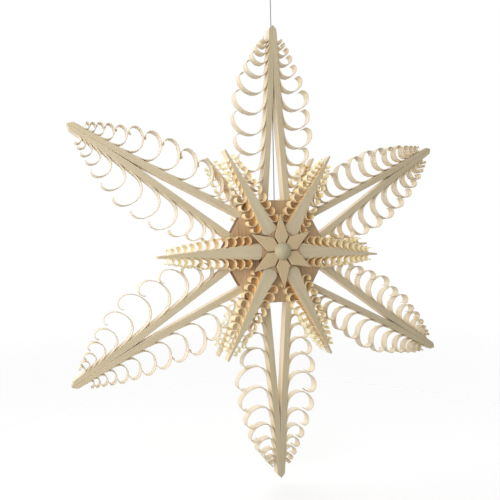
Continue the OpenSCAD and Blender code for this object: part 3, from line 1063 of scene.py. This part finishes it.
class STAR_OT_stage(bpy.types.Operator):
    """Sets up the camera, a pale floor and soft light"""

    bl_idname = "wood_star.stage"
    bl_label = "Stage"

    def execute(self, context):
        stage = context.scene.wood_star.stage
        self.add_camera(context, stage)
        self.add_floor(context, stage)
        self.add_light(context)
        context.scene.view_settings.view_transform = "Standard"
        return {"FINISHED"}

    def add_camera(self, context, stage):
        """A camera that stands to the left of the star and looks level at it."""
        back = Vector(
            (
                math.sin(stage.yaw) * math.cos(stage.pitch),
                -math.cos(stage.yaw) * math.cos(stage.pitch),
                math.sin(stage.pitch),
            )
        )
        level = Vector((math.cos(stage.yaw), math.sin(stage.yaw), 0))
        upright = back.cross(level)
        right = level * math.cos(stage.roll) + upright * math.sin(stage.roll)
        up = upright * math.cos(stage.roll) - level * math.sin(stage.roll)
        aim = Vector((0, 0, STAR_Z)) + right * stage.aim_right + up * stage.aim_up
        data = bpy.data.cameras.new("camera")
        data.lens = stage.lens
        data.sensor_width = SENSOR_WIDTH
        camera = bpy.data.objects.new("camera", data)
        context.scene.collection.objects.link(camera)
        turn = Matrix((right, up, back)).transposed().to_4x4()
        camera.matrix_world = Matrix.Translation(aim + back * stage.distance) @ turn
        context.scene.camera = camera

    def add_floor(self, context, stage):
        """A wide matt board that fades to white and sends back less light than it shows."""
        low = CAD_BOUNDS[0].z - stage.floor_drop
        signs = ((-1, -1), (1, -1), (1, 1), (-1, 1))
        corners = [(x * FLOOR_HALF, y * FLOOR_HALF, low) for x, y in signs]
        mesh = bpy.data.meshes.new("floor")
        mesh.from_pydata(corners, [], [(0, 1, 2, 3)])
        floor = bpy.data.objects.new("floor", mesh)
        context.scene.collection.objects.link(floor)
        material, tree, output = new_material("matt white board")
        place = add_node(tree, "ShaderNodeTexCoord").outputs["Object"]
        away = add_node(tree, "ShaderNodeVectorMath", {"operation": "LENGTH"}, {0: place})
        fade = add_node(tree, "ShaderNodeMapRange", FLOOR_FADE, {"Value": away.outputs["Value"]})
        seen = self.seen_directly(tree)
        clearness = add_node(
            tree, "ShaderNodeMath", {"operation": "MULTIPLY"}, {0: fade.outputs[0], 1: seen}
        )
        tone = add_node(
            tree,
            "ShaderNodeMix",
            {"data_type": "RGBA", 6: tuple(stage.floor_bounce), 7: tuple(stage.floor)},
            {0: seen},
        )
        matt = add_node(tree, "ShaderNodeBsdfDiffuse", {}, {"Color": tone.outputs[2]})
        clear = add_node(tree, "ShaderNodeBsdfTransparent")
        both = add_node(
            tree,
            "ShaderNodeMixShader",
            {},
            {0: clearness.outputs[0], 1: matt.outputs[0], 2: clear.outputs[0]},
        )
        tree.links.new(both.outputs[0], output.inputs[0])
        mesh.materials.append(material)

    def seen_directly(self, tree):
        """One for camera rays and for rays that a mirror or glass sends on, else zero."""
        path = add_node(tree, "ShaderNodeLightPath")
        total = path.outputs["Is Camera Ray"]
        for ray in ("Is Glossy Ray", "Is Transmission Ray"):
            total = add_node(
                tree, "ShaderNodeMath", {"operation": "MAXIMUM"}, {0: total, 1: path.outputs[ray]}
            ).outputs[0]
        return total

    def add_light(self, context):
        """A white surround, brightest behind the star, a broad lamp on the left, a small one on the right."""
        world = bpy.data.worlds.new("white surround")
        world.use_nodes = True
        tree = world.node_tree
        tree.nodes.clear()
        way = add_node(tree, "ShaderNodeTexCoord").outputs["Generated"]
        towards = add_node(
            tree, "ShaderNodeVectorMath", {"operation": "DOT_PRODUCT", 1: BRIGHT_SIDE}, {0: way}
        )
        level = add_node(
            tree, "ShaderNodeMapRange", SURROUND_LEVEL, {"Value": towards.outputs["Value"]}
        )
        soft = add_node(
            tree, "ShaderNodeBackground", {"Color": (1, 1, 1, 1)}, {"Strength": level.outputs[0]}
        )
        white = add_node(tree, "ShaderNodeBackground", {"Color": (1, 1, 1, 1), "Strength": 1.0})
        both = add_node(
            tree,
            "ShaderNodeMixShader",
            {},
            {0: self.seen_directly(tree), 1: soft.outputs[0], 2: white.outputs[0]},
        )
        output = add_node(tree, "ShaderNodeOutputWorld")
        tree.links.new(both.outputs[0], output.inputs[0])
        context.scene.world = world
        middle = Vector((0, 0, STAR_Z))
        for name, (offset, (width, height), power) in LAMPS.items():
            data = bpy.data.lights.new(name, "AREA")
            data.shape = "RECTANGLE"
            data.size = width
            data.size_y = height
            data.energy = power
            lamp = bpy.data.objects.new(name, data)
            lamp.visible_camera = False
            lamp.location = middle + Vector(offset)
            lamp.rotation_euler = (-Vector(offset)).to_track_quat("-Z", "Y").to_euler()
            context.scene.collection.objects.link(lamp)


class STAR_OT_thread(bpy.types.Operator):
    """Makes the hanging thread, its loop and the knot between them"""

    bl_idname = "wood_star.thread"
    bl_label = "Thread, loop and knot"

    def execute(self, context):
        star = context.scene.wood_star
        sizes = star.thread
        linen = [finish_of(linen_thread, star.colours)]
        loop_points = [Vector((x, 0, z)) * MM for x, z in LOOP_ROUTE]
        loop_route = smooth_route(loop_points, ROUTE_STEP)
        glue = star.centre.glue
        knot_top = loop_points[0].z - glue
        knot_bottom = knot_top - sizes.knot_height
        thread_top = knot_bottom - glue
        thread_foot = STAR_Z + star.centre.hub_width / 2 - sizes.hole_depth + glue
        rise = (thread_top - thread_foot) / THREAD_STEPS
        thread_points = [Vector((0, 0, thread_foot + rise * i)) for i in range(THREAD_STEPS + 1)]
        thread_route = smooth_route(thread_points, ROUTE_STEP)
        thread = thread_piece("linen_thread", thread_route, sizes.width, sizes.twist_pitch, linen)
        seat(thread, "star", "hanging_thread")
        loop = thread_piece("linen_loop", loop_route, sizes.width, sizes.twist_pitch, linen)
        seat(loop, "hanger", "thread_loop")
        knot = thread_piece(
            "barrel_knot", self.knot_route(sizes, knot_bottom), sizes.width, sizes.twist_pitch, linen
        )
        seat(knot, "hanger", "loop_knot")
        return {"FINISHED"}

    def length_of(self, route):
        """Length along a route."""
        return sum((b - a).length for a, b in zip(route, route[1:]))

    def knot_route(self, sizes, bottom):
        """Three turns wound round the standing thread, from the knot's foot to its head."""
        turns, steps = 3.0, 60
        radius = 1.05 * MM
        foot = bottom + sizes.width / 2
        rise = sizes.knot_height - sizes.width
        route = []
        for i in range(steps + 1):
            run = i / steps
            around = 2 * math.pi * turns * run
            route.append(
                Vector((radius * math.cos(around), radius * math.sin(around), foot + rise * run))
            )
        return route


class STAR_OT_outer_rays(bpy.types.Operator):
    """Makes the twelve shaved spars of the outer rays"""

    bl_idname = "wood_star.outer_rays"
    bl_label = "Outer rays"

    def execute(self, context):
        star = context.scene.wood_star
        makers = (planed_limewood, cut_limewood, limewood_shaving, cut_limewood, planed_limewood)
        finishes = [finish_of(make, star.colours) for make in makers]
        for hour in HOURS:
            for hand, row in zip(HANDS, SPAR_ROWS[hour]):
                seed = hour + (0.5 if hand == "left" else 0)
                rim = self.spar_rim(star, row, seed)
                if hand == "left":
                    rim = mirrored(rim)
                spar = strip_piece(
                    f"shaved_spar_{hour}_{hand}", rim, star.outer.spar_depth, 0, star.outer.bevel,
                    star_place(hour=hour), seed, finishes,
                )
                seat(spar, "star", f"spar_{hour}_{hand}")
        return {"FINISHED"}

    def spar_rim(self, star, row, seed):
        """Rim of the right-hand spar of a ray that points along Y."""
        strength, fullest, hook = row
        sizes, glue = star.outer, star.centre.glue
        foot = Vector((sizes.foot_gap / 2 + sizes.spar_width, star.centre.hub_width / 2 + glue))
        shoulder = Vector((sizes.tip_width / 2, sizes.tip_radius - sizes.tip_width / 2))
        seam_y = sizes.tip_radius - sizes.seam_length
        lean = math.atan((foot.x - shoulder.x) / (shoulder.y - foot.y))
        length = (foot - shoulder).length
        down = (foot - shoulder).normalized()
        inner_foot = Vector((foot.x - sizes.spar_width, foot.y))
        slit_end = Vector((sizes.slit_width / 2, seam_y - sizes.slit_length))
        below_slit = slit_end.lerp(inner_foot, 0.1)
        corners = [
            Vector((glue / 2, sizes.tip_radius - glue / 2)),
            shoulder,
            foot,
            inner_foot,
            below_slit,
            slit_end,
            Vector((glue / 2, seam_y)),
        ]
        plain = corner_points(corners, sizes.bevel, sizes.tip_radius)
        # Painted shade inside the seam and the slit, deepest where the one turns into the other
        for p, dark in ((plain[0], 0.5), (plain[5], 0.7), (plain[6], 1.0)):
            p.painted_shade_and_fleck = dark

        def edge(u):
            return shoulder + down * u, lean

        shaved = edge_rim(
            sizes, edge, length, sizes.reach * strength, fullest, hooked(SHAVING_BEND, hook),
            SHAVING_FACET, seed, 0,
        )
        return [*plain[:2], *shaved, *plain[2:]]


class STAR_OT_hub(bpy.types.Operator):
    """Makes the hexagonal hub and the two cores, and gives the dowel through them its beech finish"""

    bl_idname = "wood_star.hub"
    bl_label = "Hub, cores and dowel"

    def execute(self, context):
        star = context.scene.wood_star
        sizes, inner = star.centre, star.inner
        finishes = [finish_of(make, star.colours) for make in (hub_limewood, sawn_wood)]
        hub = board_piece(
            "hexagon_hub", sizes.hub_width, 0, sizes.bore, 0, sizes.hub_thickness, sizes.hub_bevel,
            star_place(), finishes,
        )
        seat(hub, "star", "hub")
        level = sizes.hub_thickness / 2 + sizes.glue + inner.depth / 2
        for side in SIDES:
            core = board_piece(
                f"{side}_hexagon_core", inner.core_width, math.pi / 6, sizes.bore, level, inner.depth,
                inner.bevel, star_place(side, 0, inner.back_turn), finishes,
            )
            seat(core, "star", f"{side}_core")
        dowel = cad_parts["centre_dowel"]
        dowel.data.materials.clear()
        dowel.data.materials.append(finish_of(dowel_beech, star.colours))
        return {"FINISHED"}


class STAR_OT_inner_stars(bpy.types.Operator):
    """Makes the six frilled rays of the star on each face of the hub"""

    bl_idname = "wood_star.inner_stars"
    bl_label = "Inner stars"

    def execute(self, context):
        star = context.scene.wood_star
        sizes = star.inner
        makers = (planed_limewood, cut_limewood, limewood_frill, gouged_limewood, limewood_frill)
        finishes = [finish_of(make, star.colours) for make in makers]
        level = star.centre.hub_thickness / 2 + star.centre.glue + sizes.depth / 2
        for side in SIDES:
            for hour in INNER_HOURS:
                seed = hour + RAY_SEEDS[side]
                rim = self.ray_rim(sizes, star.centre.glue, INNER_RAYS[side][hour], seed)
                ray = strip_piece(
                    f"{side}_frilled_ray_{hour}", rim, sizes.depth, level, sizes.bevel,
                    star_place(side, hour, sizes.back_turn), seed, finishes, rear_slot=EDGE,
                )
                seat(ray, "star", f"{side}_ray_{hour}")
        return {"FINISHED"}

    def ray_rim(self, sizes, glue, ray, seed):
        """Rim of a ray that points along Y, with a frill on both edges and a rounded foot."""
        length_share, lean = ray
        end = Vector((math.sin(math.radians(lean)), math.cos(math.radians(lean))))
        end *= sizes.end_radius * length_share
        foot_y = sizes.core_width / 2 + glue
        length = end.y - foot_y
        widening = (sizes.foot_width - sizes.end_width) / 2
        halves = []
        for hand, sway in enumerate((end.x, -end.x)):

            def edge(u):
                run = u / length
                x = sway * (1 - run) + sizes.end_width / 2 + widening * run**sizes.hollow
                slope = (widening * sizes.hollow * run ** (sizes.hollow - 1) - sway) / length
                return Vector((x, end.y - u)), math.atan(slope)

            # The frill's hollows carry painted shade, deepest towards the core
            rim = edge_rim(
                sizes, edge, length, sizes.reach, FRILL_FULLEST, FRILL_BEND, FRILL_FACET,
                seed + hand / 2, hand * SECOND_EDGE, HOLLOW_SHADE,
            )
            corners = [edge(0)[0], *self.rounded(edge(length - sizes.foot_round)[0], sizes.foot_round)]
            halves.append((rim, corners))
        (rim, corners), (mirror_rim, mirror_corners) = halves
        mirror_corners = [Vector((-p.x, p.y)) for p in reversed(mirror_corners)]
        plain = corner_points([*corners, *mirror_corners], sizes.bevel, end.y)
        return [plain[0], *rim, *plain[1:-1], *mirrored(mirror_rim), plain[-1]]

    def rounded(self, start, radius):
        """A quarter of a circle from a point on a long edge round to the foot."""
        steps = 5
        turns = [math.pi / 2 * i / steps for i in range(steps + 1)]
        return [start - Vector((1 - math.cos(a), math.sin(a))) * radius for a in turns]


class STAR_OT_petals(bpy.types.Operator):
    """Makes the six petals on each face of the star"""

    bl_idname = "wood_star.petals"
    bl_label = "Petals"

    def execute(self, context):
        star = context.scene.wood_star
        sizes = star.centre
        finishes = [finish_of(make, star.colours) for make in (petal_spruce, sawn_wood)]
        base = sizes.hub_thickness / 2 + star.inner.depth + 2 * sizes.glue
        level = base + sizes.petal_thickness / 2
        turn = Matrix.Rotation(sizes.petal_turn, 4, "Z")
        for side in SIDES:
            for hour in HOURS:
                rim = corner_points(self.outline(sizes), sizes.petal_bevel, sizes.petal_radius)
                place = star_place(side, hour, star.inner.back_turn) @ turn
                seed = (hour + PETAL_SEEDS[side]) * PETAL_SEED_SIZE
                petal = strip_piece(
                    f"{side}_kite_petal_{hour}", rim, sizes.petal_thickness, level, sizes.petal_bevel,
                    place, seed, finishes,
                )
                seat(petal, "star", f"{side}_petal_{hour}")
        return {"FINISHED"}

    def outline(self, sizes):
        """A kite that leaves the saw gap to its neighbours and room for the dowel."""
        gap, bore = sizes.petal_gap / 2, sizes.bore / 2
        along, aside = math.cos(HOUR_TURN), math.sin(HOUR_TURN)
        shoulder = Vector((aside, along)) * sizes.shoulder_radius - Vector((along, -aside)) * gap
        open_angle = HOUR_TURN - math.asin(gap / bore)
        arc_steps = 8
        arc = [
            Vector((math.sin(a), math.cos(a))) * bore
            for a in (open_angle * (1 - 2 * i / arc_steps) for i in range(arc_steps + 1))
        ]
        return [
            *reversed(arc),
            shoulder,
            Vector((0, sizes.petal_radius)),
            Vector((-shoulder.x, shoulder.y)),
        ]


class STAR_OT_buttons(bpy.types.Operator):
    """Makes the turned button on each face of the star"""

    bl_idname = "wood_star.buttons"
    bl_label = "Buttons"

    def execute(self, context):
        star = context.scene.wood_star
        sizes = star.centre
        lime = [finish_of(turned_limewood, star.colours)]
        level = sizes.hub_thickness / 2 + star.inner.depth + sizes.petal_thickness + 3 * sizes.glue
        for side in SIDES:
            button = turned_piece(
                f"{side}_turned_button", self.profile(sizes), level,
                star_place(side, 0, star.inner.back_turn), lime,
            )
            seat(button, "star", f"{side}_button")
        return {"FINISHED"}

    def profile(self, sizes):
        """Half the section of a button: an eased foot, a short rim and a dome."""
        radius, rise = sizes.button_width / 2, sizes.button_height - sizes.button_rim
        dome = (radius**2 + rise**2) / (2 * rise)
        ease, wear, pole = 0.25 * MM, 0.05 * MM, 0.15 * MM
        rim_top = sizes.button_rim - 2 * wear
        steps = 18
        reach = math.asin(radius / dome)
        points = [(pole + wear, 0), (radius - ease, 0), (radius, ease), (radius, rim_top)]
        for i in range(steps + 1):
            bow = reach * (1 - i / steps)
            height = sizes.button_height - dome * (1 - math.cos(bow))
            points.append((max(dome * math.sin(bow) - wear, pole), height))
        return points


class STAR_PT_panel(bpy.types.Panel):
    """Lists the steps that make the star"""

    bl_idname = "STAR_PT_panel"
    bl_label = "Wood Shaving Star"
    bl_space_type = "VIEW_3D"
    bl_region_type = "UI"
    bl_category = "Star"

    def draw(self, context):
        for operator in OPERATORS:
            self.layout.operator(operator.bl_idname)


OPERATORS = (
    STAR_OT_stage,
    STAR_OT_thread,
    STAR_OT_outer_rays,
    STAR_OT_hub,
    STAR_OT_inner_stars,
    STAR_OT_petals,
    STAR_OT_buttons,
)
CLASSES = (
    OuterRaySizes,
    InnerRaySizes,
    CentreSizes,
    ThreadSizes,
    StarColours,
    StageSettings,
    StarSettings,
    *OPERATORS,
    STAR_PT_panel,
)


def register():
    for cls in CLASSES:
        bpy.utils.register_class(cls)
    bpy.types.Scene.wood_star = PointerProperty(type=StarSettings)


def unregister():
    del bpy.types.Scene.wood_star
    for cls in reversed(CLASSES):
        bpy.utils.unregister_class(cls)


def main():
    """Makes the star step by step."""
    register()
    bpy.ops.wood_star.stage()
    bpy.ops.wood_star.thread()
    bpy.ops.wood_star.outer_rays()
    bpy.ops.wood_star.hub()
    bpy.ops.wood_star.inner_stars()
    bpy.ops.wood_star.petals()
    bpy.ops.wood_star.buttons()


if __name__ == "__main__":
    main()
